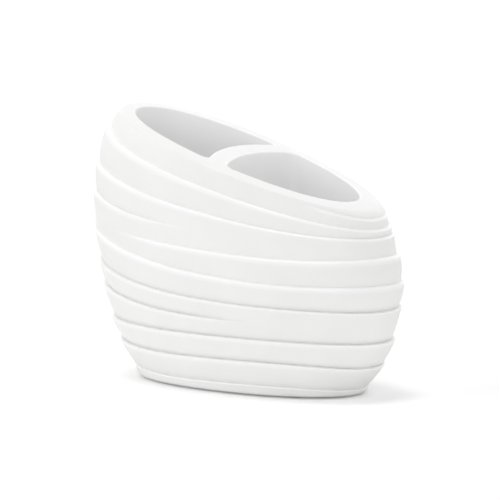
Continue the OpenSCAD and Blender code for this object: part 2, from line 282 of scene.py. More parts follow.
vessel = {
    "bodyLength": 128.7,
    "bodyDepth": 64.4,
    "rimHeight": 85.5,
    "rimTilt": 16.75,
    "planPower": 2.12,
    "levelStepShare": 0.175,     # of the rim's height, from one level of the side profile to the next
    "ledgeStep": 1.3,
    "noseHeight": 0.75,
    "noseLimit": 0.4,            # of the band's height
    "noseChamfer": 0.6,          # 0 is a quarter round and 1 is a flat chamfer
    "bandBulge": 1.7,            # how far a band between two full ledges bows out: 1 is straight
    "creaseDepth": 0.5,          # a band's foot rolls in this far behind a ledge, times the crease's share
    "creaseHeight": 1.5,
    "creaseWithoutNose": 1.04,   # less the ledge's nose share, it is the crease's share
    "lipFall": 6.0,              # a lip's polish and painted highlight have gone after one part in this many of its band
    "sliverShare": 0.1,          # of the height between the rim's edge and the first full ledge
    "riseSpread": 18,
    "gapNear": 20,
    "gapFar": 48,
    "rimOut": 0.3,
    "rimCrown": 0.4,
    "crownPower": 1.6,
    "rimLimit": 0.9,             # of the height from the rim to that ledge, the most that its rounding takes
    # the rim top's polish and its painted highlight, as a share of a lip's
    "rimPolishAndHighlight": 0.2,
    "roundHighWidth": 1.2,
    "roundHighHeight": 2.5,
    "roundHighAngle": 200,
    "roundHighRange": (35, 10),  # from its angle, where this rounding starts and where it is full
    "roundMid": 0.5,
    "roundLowWidth": 3.0,
    "roundLowHeight": 1.8,
    "roundLowAngle": 40,
    "roundLowRange": (84, 44),
    "plinthOut": 0.7,
    "baseRound": 1.0,
    "padHeight": 0.8,
    "baseShift": 2.4,
    "mouthRound": 0.5,
    "pocketsLength": 91.4,
    "pocketsDepth": 41.2,
    "pocketsShift": 1.9,
    "floorThickness": 9,
    "wallDraft": 2,
    "floorRound": 5,
    "dividerThickness": 10.5,
    "dividerDraft": 1,
    "dividerShift": 3.5,
    "dividerBow": 4.3,
    "dividerTurn": 3.8,
    "cornerLength": 4,
    # Counts of points and rows
    "around": 432,
    "rimRows": 8,
    "noseRows": 8,
    "bandRows": 14,
    "baseRows": 6,
    "dividerSteps": 8,
    "cornerSteps": 10,
    "faceSteps": 40,
    "mouthLoops": 9,
    "wallLoops": 14,
    "floorLoops": 10,
    "rimSteps": 7,
    "tries": 20,                 # halvings that bring a point to the rim plane
    "mergeWithin": 0.002,
    "sharpAngle": 38,
}
halfLengthShares = [0.742, 0.884, 0.963, 1, 0.987, 0.950, 0.934, 0.850, 0.760]
leanShares = [0, 0.009, -0.002, -0.018, -0.071, -0.107, -0.065, 0.001, 0.066]

# One line for each ledge, from the sliver under the rim down: level, tilt, bow, skew, rise, the two pairs of
# angles over which it fades in, its step at the high end and at the low end, its nose and the direction of
# its gap, which is negative where it has none
ledgeLines = [
    (0, 0, 0, 0, 0, 136, 150, 136, 150, 0.4, 0.4, 1, -1),
    (0.931, -0.896, 0.007, -0.002, 0, -20, -10, -20, -10, 1.0, 0.8, 1, 150),
    (0.820, -0.600, 0.014, 0.002, 0, -20, -10, -20, -10, 0.85, 0.85, 1, 140),
    (0.730, -0.428, 0.012, -0.010, 0, 90, 60, 90, 60, 0.8, 0.95, 0.8, -1),
    (0.643, -0.169, 0.007, 0.005, 0.070, 50, 85, 36, 22, 0.9, 0.9, 1, -1),
    (0.562, -0.380, 0.029, -0.002, 0, -20, -10, -20, -10, 0.85, 1, 1.3, -1),
    (0.441, -0.296, 0.021, -0.006, 0, -20, -10, -20, -10, 0.95, 1, 0.7, -1),
    (0.362, -0.180, 0.021, -0.006, 0, 112, 85, 112, 85, 0.85, 0.95, 0.6, -1),
    (0.261, -0.037, -0.001, -0.003, 0, -20, -10, -20, -10, 1.1, 1, 0.6, -1),
    (0.159, -0.057, -0.001, -0.008, 0, -20, -10, -20, -10, 1.1, 0.9, 0.6, -1),
    (0.052, -0.039, 0, -0.007, 0, -20, -10, -20, -10, 0.3, 0.3, 0.6, -1),
]
ledgeFields = ["level", "tilt", "bow", "skew", "rise", "fadeNearA", "fadeNearB", "fadeFarA", "fadeFarB",
               "stepHigh", "stepLow", "noseShare", "gap"]
ledgeCount = len(ledgeLines)

# Smooth curve through the shares of the side profile, read at a place counted in levels
profileTree, given = startTree("throughLevels", ["table", "values", "place"], ["value"])
tree = profileTree
lowLevel = addNode(tree, mathNode, "FLOOR", [given["place"]])
lowLevel = addNode(tree, clampNode, None, [lowLevel, 0, len(leanShares) - 2])
part = addNode(tree, mathNode, "SUBTRACT", [given["place"], lowLevel])
samples = []
for offset in (-1, 0, 1, 2):
    index = addNode(tree, mathNode, "ADD", [lowLevel, offset])
    samples.append(addNode(tree, sampleNode, {"clamp": True},
                           {"Geometry": given["table"], "Value": given["values"], "Index": index}))
before, first, second, after = samples
# Before the first level the curve goes straight on
doubled = addNode(tree, mathNode, "MULTIPLY", [first, 2])
straightOn = addNode(tree, mathNode, "SUBTRACT", [doubled, second])
inside = addNode(tree, mathNode, "GREATER_THAN", [lowLevel, 0.5])
before = addNode(tree, mixNode, None, {0: inside, 2: straightOn, 3: before})
# The curve's three coefficients, each a sum of the four samples
sums = []
for weights in ((-1, 0, 1, 0), (2, -5, 4, -1), (-1, 3, -3, 1)):
    total = 0
    for sample, weight in zip((before, first, second, after), weights):
        total = addNode(tree, mathNode, "MULTIPLY_ADD", [sample, weight, total])
    sums.append(total)
bend = addNode(tree, mathNode, "MULTIPLY_ADD", [part, sums[2], sums[1]])
bend = addNode(tree, mathNode, "MULTIPLY_ADD", [part, bend, sums[0]])
bend = addNode(tree, mathNode, "MULTIPLY", [part, bend])
value = addNode(tree, mathNode, "MULTIPLY_ADD", [bend, 0.5, first])
addNode(tree, "NodeGroupOutput", None, {"value": value})

# Point of the wall at an angle and a height, moved outward
wallTree, given = startTree("wallPoint", ["table", "turn", "height", "out", "bodyLength", "bodyDepth",
                                          "levelStep", "planPower"], ["point"])
tree = wallTree
level = addNode(tree, mathNode, "DIVIDE", [given["height"], given["levelStep"]])
halfBody = addNode(tree, mathNode, "MULTIPLY", [given["bodyLength"], 0.5])
read = []
for label in ("halfLengthShare", "leanShare"):
    share = addNode(tree, readNode, None, {"Name": label})
    curve = addNode(tree, groupNode, {"node_tree": profileTree},
                    {"table": given["table"], "values": share, "place": level})
    read.append(addNode(tree, mathNode, "MULTIPLY", [curve, halfBody]))
halfLength, lean = read
depthShare = addNode(tree, mathNode, "DIVIDE", [given["bodyDepth"], given["bodyLength"]])
reachX = addNode(tree, mathNode, "ADD", [halfLength, given["out"]])
reachY = addNode(tree, mathNode, "MULTIPLY_ADD", [halfLength, depthShare, given["out"]])
power = addNode(tree, mathNode, "DIVIDE", [2, given["planPower"]])
angle = addNode(tree, mathNode, "RADIANS", [given["turn"]])
sides = []
for wavePart, reach in (("COSINE", reachX), ("SINE", reachY)):
    shape = addNode(tree, mathNode, wavePart, [angle])
    size = addNode(tree, mathNode, "ABSOLUTE", [shape])
    size = addNode(tree, mathNode, "POWER", [size, power])
    sign = addNode(tree, mathNode, "SIGN", [shape])
    size = addNode(tree, mathNode, "MULTIPLY", [size, sign])
    sides.append(addNode(tree, mathNode, "MULTIPLY", [size, reach]))
leaned = addNode(tree, mathNode, "ADD", [sides[0], lean])
point = addNode(tree, "ShaderNodeCombineXYZ", None, [leaned, sides[1], given["height"]])
addNode(tree, "NodeGroupOutput", None, {"point": point})

# Angle between two directions round the vessel, from 0 to 180
angleTree, given = startTree("angleBetween", ["turn", "direction"], ["angle"])
tree = angleTree
oneWay = addNode(tree, mathNode, "SUBTRACT", [given["turn"], given["direction"]])
oneWay = addNode(tree, mathNode, "ABSOLUTE", [oneWay])
otherWay = addNode(tree, mathNode, "SUBTRACT", [360, oneWay])
least = addNode(tree, mathNode, "MINIMUM", [oneWay, otherWay])
addNode(tree, "NodeGroupOutput", None, {"angle": least})

# A ledge's height, how much of it there is and how far it stands out, at an angle
ledgeTree, given = startTree("ledgeAt", ["table", "ledge", "turn", "rimHeight", "rimDrop", "riseSpread",
                                         "ledgeStep", "gapNear", "gapFar"],
                             ["height", "share", "stepOut", "noseShare"])
tree = ledgeTree
index = addNode(tree, clampNode, None, [given["ledge"], 0, ledgeCount - 1])
numbers = {}
for label in ledgeFields:
    field = addNode(tree, readNode, None, {"Name": label})
    numbers[label] = addNode(tree, sampleNode, {"clamp": True},
                             {"Geometry": given["table"], "Value": field, "Index": index})
angle = addNode(tree, mathNode, "RADIANS", [given["turn"]])
fromHigh = addNode(tree, groupNode, {"node_tree": angleTree}, {"turn": given["turn"], "direction": 180})
waves = []
for times in (1, 2, 3):
    more = addNode(tree, mathNode, "MULTIPLY", [angle, times])
    waves.append(addNode(tree, mathNode, "COSINE", [more]))
away = addNode(tree, mathNode, "DIVIDE", [fromHigh, given["riseSpread"]])
away = addNode(tree, mathNode, "MULTIPLY", [away, away])
away = addNode(tree, mathNode, "MULTIPLY", [away, -1])
swell = addNode(tree, mathNode, "EXPONENT", [away])
level = numbers["level"]
for wave, label in ((waves[1], "bow"), (waves[2], "skew"), (swell, "rise")):
    level = addNode(tree, mathNode, "MULTIPLY_ADD", [wave, numbers[label], level])
level = addNode(tree, mathNode, "MULTIPLY", [level, given["rimHeight"]])
slant = addNode(tree, mathNode, "MULTIPLY", [numbers["tilt"], given["rimDrop"]])
height = addNode(tree, mathNode, "MULTIPLY_ADD", [slant, waves[0], level])
fades = [addNode(tree, rangeNode, smoothly, [fromHigh, numbers[start], numbers[end]])
         for start, end in (("fadeNearA", "fadeNearB"), ("fadeFarA", "fadeFarB"))]
whole = addNode(tree, mathNode, "MAXIMUM", fades)
fromGap = addNode(tree, groupNode, {"node_tree": angleTree},
                  {"turn": given["turn"], "direction": numbers["gap"]})
gapShare = addNode(tree, rangeNode, smoothly, [fromGap, given["gapNear"], given["gapFar"]])
noGap = addNode(tree, mathNode, "LESS_THAN", [numbers["gap"], 0])
gapShare = addNode(tree, mathNode, "MAXIMUM", [gapShare, noGap])
whole = addNode(tree, mathNode, "MULTIPLY", [whole, gapShare])
bothSteps = addNode(tree, mathNode, "ADD", [numbers["stepHigh"], numbers["stepLow"]])
stepChange = addNode(tree, mathNode, "SUBTRACT", [numbers["stepLow"], numbers["stepHigh"]])
stepOut = addNode(tree, mathNode, "MULTIPLY_ADD", [stepChange, waves[0], bothSteps])
for factor in (given["ledgeStep"], 0.5):
    stepOut = addNode(tree, mathNode, "MULTIPLY", [stepOut, factor])
addNode(tree, "NodeGroupOutput", None,
        {"height": height, "share": whole, "stepOut": stepOut, "noseShare": numbers["noseShare"]})

# The banded wall itself: a tube of rings, each ring laid along a rounding, a ledge or a band
sizeNames = ["bodyLength", "bodyDepth", "rimHeight", "rimTilt", "planPower", "ledgeStep", "noseHeight",
             "noseLimit", "noseChamfer", "bandBulge", "creaseDepth", "creaseHeight", "sliverShare",
             "riseSpread", "gapNear", "gapFar", "rimOut", "rimLimit", "roundHighWidth", "roundHighHeight",
             "roundHighAngle", "roundMid", "roundLowWidth", "roundLowHeight", "roundLowAngle", "plinthOut",
             "baseRound", "padHeight", "baseShift", "around"]
bandTree, sizes = startTree("bandedWall", ["geometry"] + sizeNames + ["material"], ["geometry"])
tree = bandTree
table = sizes["geometry"]
rimRows, noseRows, bandRows, baseRows = (vessel[k] for k in ("rimRows", "noseRows", "bandRows", "baseRows"))
firstBase = rimRows + ledgeCount * bandRows
ringCount = firstBase + baseRows
tube = addNode(tree, "GeometryNodeMeshCylinder", {"fill_type": "NONE"},
               {"Vertices": sizes["around"], "Side Segments": ringCount - 1, "Radius": 1.0, "Depth": 1.0})
spot = addNode(tree, "ShaderNodeSeparateXYZ", None, [addNode(tree, "GeometryNodeInputPosition")]).outputs
# The tube is one unit deep and a ring is known by its height, from half a unit down to minus a half
ringPlace = addNode(tree, rangeNode, unlimited, [spot[2], 0.5, -0.5, 0, ringCount - 1])
ringPlace = addNode(tree, mathNode, "ROUND", [ringPlace])
direction = addNode(tree, mathNode, "ARCTAN2", [spot[1], spot[0]])
direction = addNode(tree, mathNode, "DEGREES", [direction])
stepAngle = addNode(tree, mathNode, "DIVIDE", [360, sizes["around"]])
direction = addNode(tree, mathNode, "MULTIPLY_ADD", [stepAngle, 0.5, direction])
direction = addNode(tree, mathNode, "SNAP", [direction, stepAngle])
direction = addNode(tree, mathNode, "FLOORED_MODULO", [direction, 360])
# Each point keeps its ring and its angle, since its position is about to change
marked = tube
for label, field in (("ring", ringPlace), ("turn", direction)):
    marked = addNode(tree, storeNode, None, {"Geometry": marked, "Name": label, "Value": field})
ring, turn = (addNode(tree, readNode, None, {"Name": label}) for label in ("ring", "turn"))
slope = addNode(tree, mathNode, "RADIANS", [sizes["rimTilt"]])
slope = addNode(tree, mathNode, "TANGENT", [slope])
rimDrop = addNode(tree, mathNode, "MULTIPLY", [slope, sizes["bodyLength"]])
rimDrop = addNode(tree, mathNode, "MULTIPLY", [rimDrop, 0.5])
levelStep = addNode(tree, mathNode, "MULTIPLY", [sizes["rimHeight"], vessel["levelStepShare"]])
wallSizes = {"table": table, "turn": turn, "levelStep": levelStep}
wallSizes.update({label: sizes[label] for label in ("bodyLength", "bodyDepth", "planPower")})
ledgeSizes = {"table": table, "turn": turn, "rimDrop": rimDrop}
ledgeSizes.update({label: sizes[label] for label in ("rimHeight", "riseSpread", "ledgeStep", "gapNear",
                                                     "gapFar")})

# Which band a ring belongs to, and its place in it
bandPlace = addNode(tree, mathNode, "SUBTRACT", [ring, rimRows])
bandNumber = addNode(tree, mathNode, "ADD", [bandPlace, 0.5])
bandNumber = addNode(tree, mathNode, "DIVIDE", [bandNumber, bandRows])
bandNumber = addNode(tree, mathNode, "FLOOR", [bandNumber])
bandNumber = addNode(tree, clampNode, None, [bandNumber, 0, ledgeCount - 1])
rowNumber = addNode(tree, mathNode, "MULTIPLY_ADD", [bandNumber, -bandRows, bandPlace])
bandFall = addNode(tree, rangeNode, smoothly, [rowNumber, noseRows - 1, bandRows])

# The quarter turns of the rim's edge, of a nose and of the base's edge, read from their rows
turns, sines, cosines, cosinesLessOne = {}, {}, {}, {}
for label, row, start, end in (("rim", ring, 0, rimRows - 1), ("nose", rowNumber, 0, noseRows - 1),
                               ("base", ring, firstBase, ringCount - 1)):
    turns[label] = addNode(tree, rangeNode, None, [row, start, end, 0, quarterTurn])
    sines[label] = addNode(tree, mathNode, "SINE", [turns[label]])
    cosines[label] = addNode(tree, mathNode, "COSINE", [turns[label]])
    cosinesLessOne[label] = addNode(tree, mathNode, "SUBTRACT", [cosines[label], 1])

# How far out the rim's edge lies, and how wide and high its rounding is, at an angle
edgeShare = addNode(tree, groupNode, {"node_tree": ledgeTree}, {"ledge": 0, **ledgeSizes}).outputs["share"]
edgeOut = addNode(tree, mathNode, "SUBTRACT", [1, edgeShare])
edgeOut = addNode(tree, mathNode, "MULTIPLY", [edgeOut, sizes["rimOut"]])
roundShares = []
for label in ("roundHigh", "roundLow"):
    fromIt = addNode(tree, groupNode, {"node_tree": angleTree},
                     {"turn": turn, "direction": sizes[label + "Angle"]})
    roundShares.append(addNode(tree, rangeNode, smoothly, [fromIt, *vessel[label + "Range"]]))
midShare = addNode(tree, mathNode, "SUBTRACT", [1, roundShares[0]])
midShare = addNode(tree, mathNode, "SUBTRACT", [midShare, roundShares[1]])
roundSizes = []
for label in ("Width", "Height"):
    total = addNode(tree, mathNode, "MULTIPLY", [midShare, sizes["roundMid"]])
    for share, end in zip(roundShares, ("roundHigh", "roundLow")):
        total = addNode(tree, mathNode, "MULTIPLY_ADD", [share, sizes[end + label], total])
    roundSizes.append(total)
inward = addNode(tree, mathNode, "SUBTRACT", [sines["rim"], 1])
rimRowOut = addNode(tree, mathNode, "MULTIPLY_ADD", [roundSizes[0], inward, edgeOut])

# Heights at which the wall meets the rim plane, found by halving the difference again and again
for label, out in (("rimFlat", 0), ("rimRow", rimRowOut)):
    marked = addNode(tree, storeNode, None, {"Geometry": marked, "Name": label, "Value": sizes["rimHeight"]})
    repeatStart = tree.nodes.new("GeometryNodeRepeatInput")
    repeatEnd = tree.nodes.new("GeometryNodeRepeatOutput")
    repeatStart.pair_with_output(repeatEnd)
    repeatStart.inputs["Iterations"].default_value = vessel["tries"]
    tree.links.new(marked.outputs[0], repeatStart.inputs["Geometry"])
    tried = addNode(tree, readNode, None, {"Name": label})
    reached = addNode(tree, groupNode, {"node_tree": wallTree}, {"height": tried, "out": out, **wallSizes})
    reachedX = addNode(tree, "ShaderNodeSeparateXYZ", None, [reached])
    plane = addNode(tree, mathNode, "MULTIPLY", [slope, reachedX])
    plane = addNode(tree, mathNode, "SUBTRACT", [sizes["rimHeight"], plane])
    nextTry = addNode(tree, mathNode, "ADD", [tried, plane])
    nextTry = addNode(tree, mathNode, "MULTIPLY", [nextTry, 0.5])
    kept = addNode(tree, storeNode, None,
                   {"Geometry": repeatStart.outputs["Geometry"], "Name": label, "Value": nextTry})
    tree.links.new(kept.outputs[0], repeatEnd.inputs["Geometry"])
    marked = repeatEnd
rimFlat, rimRow = (addNode(tree, readNode, None, {"Name": label}) for label in ("rimFlat", "rimRow"))

# The rounded outer edge of the rim
topLedge = addNode(tree, groupNode, {"node_tree": ledgeTree}, {"ledge": 1, **ledgeSizes}).outputs["height"]
room = addNode(tree, mathNode, "SUBTRACT", [rimFlat, topLedge])
room = addNode(tree, mathNode, "MULTIPLY", [room, sizes["rimLimit"]])
roundHeight = addNode(tree, mathNode, "MINIMUM", [roundSizes[1], room])
rimEdge = addNode(tree, mathNode, "SUBTRACT", [rimFlat, roundHeight])
rimHeightHere = addNode(tree, mathNode, "MULTIPLY_ADD", [roundHeight, cosinesLessOne["rim"], rimRow])

# Heights of the ledges round a band: the one above it, its own, the one at its foot and the next
edgeGap = addNode(tree, mathNode, "SUBTRACT", [rimEdge, topLedge])
sliverFall = addNode(tree, mathNode, "MULTIPLY", [edgeGap, sizes["sliverShare"]])
sliverHeight = addNode(tree, mathNode, "SUBTRACT", [rimEdge, sliverFall])
baseEdge = addNode(tree, mathNode, "ADD", [sizes["padHeight"], sizes["baseRound"]])
near = []
for offset in (-1, 0, 1, 2):
    number = addNode(tree, mathNode, "ADD", [bandNumber, offset])
    at = addNode(tree, groupNode, {"node_tree": ledgeTree}, {"ledge": number, **ledgeSizes}).outputs
    height = at["height"]
    # The sliver under the rim keeps to the rim's edge; past the last ledge comes the base's edge
    for limit, operation, other in ((0.5, "LESS_THAN", sliverHeight), (-0.5, "LESS_THAN", rimEdge),
                                    (ledgeCount - 0.5, "GREATER_THAN", baseEdge)):
        past = addNode(tree, mathNode, operation, [number, limit])
        height = addNode(tree, mixNode, None, {0: past, 2: height, 3: other})
    near.append({"height": height, "share": at["share"], "step": at["stepOut"], "nose": at["noseShare"]})
above, own, foot, further = near
firstBand = addNode(tree, mathNode, "LESS_THAN", [bandNumber, 0.5])
lastBand = addNode(tree, mathNode, "GREATER_THAN", [bandNumber, ledgeCount - 1.5])
notLast = addNode(tree, mathNode, "SUBTRACT", [1, lastBand])

# The nose of the ledge, between a quarter round and a flat chamfer, which shows as a wider, even lip
bandHeight = addNode(tree, mathNode, "SUBTRACT", [own["height"], foot["height"]])
noseLimit = addNode(tree, mathNode, "MULTIPLY", [bandHeight, sizes["noseLimit"]])
noseHeight = addNode(tree, mathNode, "MULTIPLY", [own["nose"], sizes["noseHeight"]])
noseHeight = addNode(tree, mathNode, "MINIMUM", [noseLimit, noseHeight])
turnShare = addNode(tree, mathNode, "DIVIDE", [turns["nose"], quarterTurn])
turnBack = addNode(tree, mathNode, "MULTIPLY", [turnShare, -1])
noseReach = addNode(tree, mixNode, None, {0: sizes["noseChamfer"], 2: sines["nose"], 3: turnShare})
noseFall = addNode(tree, mixNode, None, {0: sizes["noseChamfer"], 2: cosinesLessOne["nose"], 3: turnBack})
noseZ = addNode(tree, mathNode, "MULTIPLY_ADD", [noseHeight, noseFall, own["height"]])
# Where the ledge has faded out the band above goes on, and at the first band that is the rim's edge
headOut = addNode(tree, mixNode, None, {0: firstBand, 2: above["step"], 3: edgeOut})
plainRise = addNode(tree, rangeNode, unlimited, [noseZ, foot["height"], above["height"]])
plainOut = addNode(tree, mathNode, "MULTIPLY", [plainRise, headOut])
for ledge in (own, foot):
    shallow = addNode(tree, mathNode, {"operation": "SUBTRACT", "use_clamp": True},
                      [vessel["creaseWithoutNose"], ledge["nose"]])
    ledge["crease"] = addNode(tree, mathNode, "MULTIPLY", [shallow, ledge["share"]])
creaseIn = addNode(tree, mathNode, "MULTIPLY", [own["crease"], sizes["creaseDepth"]])
stepFromCrease = addNode(tree, mathNode, "ADD", [own["step"], creaseIn])
fullOut = addNode(tree, mathNode, "MULTIPLY", [noseReach, stepFromCrease])
fullOut = addNode(tree, mathNode, "SUBTRACT", [fullOut, creaseIn])
noseOut = addNode(tree, mixNode, None, {0: own["share"], 2: plainOut, 3: fullOut})

# The band below it, down to its foot, which tucks in behind the next ledge
footRise = addNode(tree, rangeNode, unlimited, [foot["height"], further["height"], own["height"]])
footPlain = addNode(tree, mathNode, "MULTIPLY", [footRise, own["step"]])
footShare = addNode(tree, mathNode, "SUBTRACT", [1, foot["share"]])
footOut = addNode(tree, mathNode, "MULTIPLY", [footPlain, footShare])
footOut = addNode(tree, mixNode, None, {0: lastBand, 2: footOut, 3: sizes["plinthOut"]})
bandZ = addNode(tree, mixNode, None, {0: bandFall, 2: noseZ, 3: foot["height"]})
# Between two full ledges the band bows out, and above a ledge its foot rolls in to the crease
nextShare = addNode(tree, mathNode, "MULTIPLY", [foot["share"], notLast])
bulge = addNode(tree, mathNode, "MULTIPLY", [own["share"], nextShare])
bulge = addNode(tree, rangeNode, None, [bulge, 0, 1, 1, sizes["bandBulge"]])
bowedFall = addNode(tree, mathNode, "POWER", [bandFall, bulge])
bandOut = addNode(tree, mixNode, None, {0: bowedFall, 2: noseOut, 3: footOut})
creaseTop = addNode(tree, mathNode, "ADD", [foot["height"], sizes["creaseHeight"]])
crease = addNode(tree, rangeNode, None, [bandZ, creaseTop, foot["height"]])
for factor in (bandFall, notLast):
    crease = addNode(tree, mathNode, "MULTIPLY", [crease, factor])
footIn = addNode(tree, mathNode, "POWER", [crease, 2])
for factor in (foot["crease"], sizes["creaseDepth"]):
    footIn = addNode(tree, mathNode, "MULTIPLY", [footIn, factor])
bandOut = addNode(tree, mathNode, "SUBTRACT", [bandOut, footIn])

# The rounded lower edge of the base
baseRise = addNode(tree, mathNode, "MULTIPLY", [sines["base"], sizes["baseRound"]])
baseZ = addNode(tree, mathNode, "SUBTRACT", [baseEdge, baseRise])
baseOut = addNode(tree, mathNode, "MULTIPLY_ADD",
                  [cosinesLessOne["base"], sizes["baseRound"], sizes["plinthOut"]])

# Each point in its place, in metres
onRim = addNode(tree, mathNode, "LESS_THAN", [ring, rimRows - 0.5])
onBase = addNode(tree, mathNode, "GREATER_THAN", [ring, firstBase - 0.5])
ends = []
for band, rim, base in ((bandZ, rimHeightHere, baseZ), (bandOut, rimRowOut, baseOut)):
    chosen = addNode(tree, mixNode, None, {0: onRim, 2: band, 3: rim})
    ends.append(addNode(tree, mixNode, None, {0: onBase, 2: chosen, 3: base}))
laid = addNode(tree, groupNode, {"node_tree": wallTree}, {"height": ends[0], "out": ends[1], **wallSizes})
shift = addNode(tree, "ShaderNodeCombineXYZ", None, [sizes["baseShift"]])
laid = addNode(tree, "ShaderNodeVectorMath", "ADD", [laid, shift])
laid = addNode(tree, "ShaderNodeVectorMath", "SCALE", {0: laid, "Scale": millimetre})

# How much of a lip there is at a point, for the polish and the painted highlight in the material
lipPeak = addNode(tree, mathNode, "MULTIPLY", [noseReach, own["share"]])
lipFall = addNode(tree, mathNode, "MULTIPLY", [bandFall, vessel["lipFall"]])
lipFall = addNode(tree, mathNode, {"operation": "SUBTRACT", "use_clamp": True}, [lipPeak, lipFall])
rimLip = addNode(tree, mathNode, "MULTIPLY", [cosines["rim"], vessel["rimPolishAndHighlight"]])
lipHere = addNode(tree, mixNode, None, {0: onRim, 2: lipFall, 3: rimLip})
# How deep in a crease a point is, for the painted shade in the material
noseStart = addNode(tree, mathNode, "SUBTRACT", [1, noseReach])
noseStart = addNode(tree, mathNode, "MULTIPLY", [noseStart, own["crease"]])
creaseAbove = addNode(tree, mathNode, "MULTIPLY", [crease, foot["crease"]])
creaseShadeHere = addNode(tree, mathNode, "MAXIMUM", [noseStart, creaseAbove])
for place in (onRim, onBase):
    elsewhere = addNode(tree, mathNode, "SUBTRACT", [1, place])
    creaseShadeHere = addNode(tree, mathNode, "MULTIPLY", [creaseShadeHere, elsewhere])
for label, field in (("lip", lipHere), ("crease", creaseShadeHere)):
    marked = addNode(tree, storeNode, None, {"Geometry": marked, "Name": label, "Value": field})
placed = addNode(tree, "GeometryNodeSetPosition", None, {"Geometry": marked, "Position": laid})
real = addNode(tree, "GeometryNodeRealizeInstances", None, {"Geometry": placed})
painted = addNode(tree, "GeometryNodeSetMaterial", None, {"Geometry": real, "Material": sizes["material"]})
addNode(tree, "NodeGroupOutput", None, {"geometry": painted})

# The table: one point for each ledge, which also carries the side profile's levels
tableMesh = bpy.data.meshes.new("ledgeTable")
tableMesh.from_pydata([(i, 0, 0) for i in range(ledgeCount)], [], [])
columns = {label: [line[i] for line in ledgeLines] for i, label in enumerate(ledgeFields)}
spare = [0] * (ledgeCount - len(leanShares))
columns["halfLengthShare"] = halfLengthShares + spare
columns["leanShare"] = leanShares + spare
for label, values in columns.items():
    tableMesh.attributes.new(label, "FLOAT", "POINT").data.foreach_set("value", [float(v) for v in values])
wallObject = addObject("wallMaker", tableMesh)
modifier = wallObject.modifiers.new("bandedWall", "NODES")
modifier.node_group = bandTree
sockets = {item.name: item.identifier for item in bandTree.interface.items_tree
           if item.item_type == "SOCKET" and item.in_out == "INPUT"}
for label in sizeNames:
    modifier[sockets[label]] = vessel[label] if label in socketKinds else float(vessel[label])
modifier[sockets["material"]] = castResin
evaluated = wallObject.evaluated_get(bpy.context.evaluated_depsgraph_get())
wallMesh = bpy.data.meshes.new_from_object(evaluated)
wallObject.modifiers.remove(modifier)
bpy.data.objects.remove(wallObject)


# A named value of each point of the wall
def readWall(label):
    values = np.zeros(len(wallMesh.vertices), np.float32)
    wallMesh.attributes[label].data.foreach_get("value", values)
    return values


# The wall's points in rows, one for each ring, and the place of each point in them
around = vessel["around"]
rings = np.rint(readWall("ring")).astype(int)
slots = np.rint(readWall("turn") / (360 / around)).astype(int) % around
spots = np.zeros(len(wallMesh.vertices) * 3)
wallMesh.vertices.foreach_get("co", spots)
wallGrid = np.zeros((ringCount, around, 3))
wallGrid[rings, slots] = spots.reshape(-1, 3)
traces = {label: readWall(label) for label in ("lip", "crease")}
bpy.data.meshes.remove(wallMesh)
print("banded wall made:", rings.size, "points in", ringCount, "rings")


# The pockets: outlines of the core at a height, widened by grow, as in the part
rimSlope, wallSlope, dividerSlope, dividerSlant = (
    math.tan(math.radians(vessel[k])) for k in ("rimTilt", "wallDraft", "dividerDraft", "dividerTurn"))
floorLevel = vessel["padHeight"] + vessel["floorThickness"]
dividerSteps, cornerSteps, faceSteps = (vessel[k] for k in ("dividerSteps", "cornerSteps", "faceSteps"))
wallSteps = around // 2 - 2 * dividerSteps
chainSteps = faceSteps + 2 * cornerSteps
loopPoints = wallSteps + chainSteps


# One side of an oval, from the cosine or the sine of its angle
def oval(wave, reach):
    return reach * np.sign(wave) * np.abs(wave) ** (2 / vessel["planPower"])


# A pocket's outline, with a height for each of its points: round the wall from one corner of the divider
# to the other, then back along the divider's face, with a bend at each corner
def pocketLoop(side, heights, grow):
    rise = heights - floorLevel
    widened = rise * wallSlope + grow
    halfLong, halfDeep = vessel["pocketsLength"] / 2 + widened, vessel["pocketsDepth"] / 2 + widened
    bow, corner = vessel["dividerBow"], vessel["cornerLength"]
    radius = ((vessel["pocketsDepth"] / 2) ** 2 + bow ** 2) / (2 * bow)
    halfDivider = vessel["dividerThickness"] / 2 - rise * dividerSlope - grow

    def face(y):
        bowed = radius - np.sqrt(radius ** 2 - y * y)
        return bowed - vessel["dividerShift"] - y * dividerSlant + side * halfDivider

    def wallEnd(y):
        x = face(y) + side * corner
        return np.arccos(np.sign(x) * (np.abs(x) / halfLong) ** (vessel["planPower"] / 2))

    step = np.arange(loopPoints)
    chainStep = step - wallSteps
    sweep = (2 * math.pi if side < 0 else 0) - wallEnd(halfDeep) - wallEnd(-halfDeep)
    turned = wallEnd(halfDeep) + sweep * np.minimum(step, wallSteps) / wallSteps
    end = np.where(chainStep > cornerSteps + faceSteps, 1.0, -1.0)
    bent = np.clip(np.where(end > 0, chainSteps - chainStep, chainStep) / cornerSteps, 0, 1)
    endAngle = wallEnd(end * halfDeep)
    faceY = halfDeep - corner
    straightY = np.clip(-faceY + 2 * faceY * (chainStep - cornerSteps) / faceSteps, -faceY, faceY)
    # Each bend is a curve with the wall's end, the sharp corner and the face's end as its three points
    byWall, byCorner, byFace = (1 - bent) ** 2, 2 * bent * (1 - bent), bent * bent
    bendX = (byWall * oval(np.cos(endAngle), halfLong) + byCorner * face(end * halfDeep)
             + byFace * face(end * faceY))
    bendY = end * (byWall * oval(np.sin(endAngle), halfDeep) + byCorner * halfDeep + byFace * faceY)
    onWall, onFace = step <= wallSteps, bent >= 1
    x = np.where(onWall, oval(np.cos(turned), halfLong), np.where(onFace, face(straightY), bendX))
    y = np.where(onWall, oval(np.sin(turned), halfDeep), np.where(onFace, straightY, bendY))
    return np.stack([x - vessel["pocketsShift"], y, heights], -1)


def rimPlane(x):
    return vessel["rimHeight"] - rimSlope * x


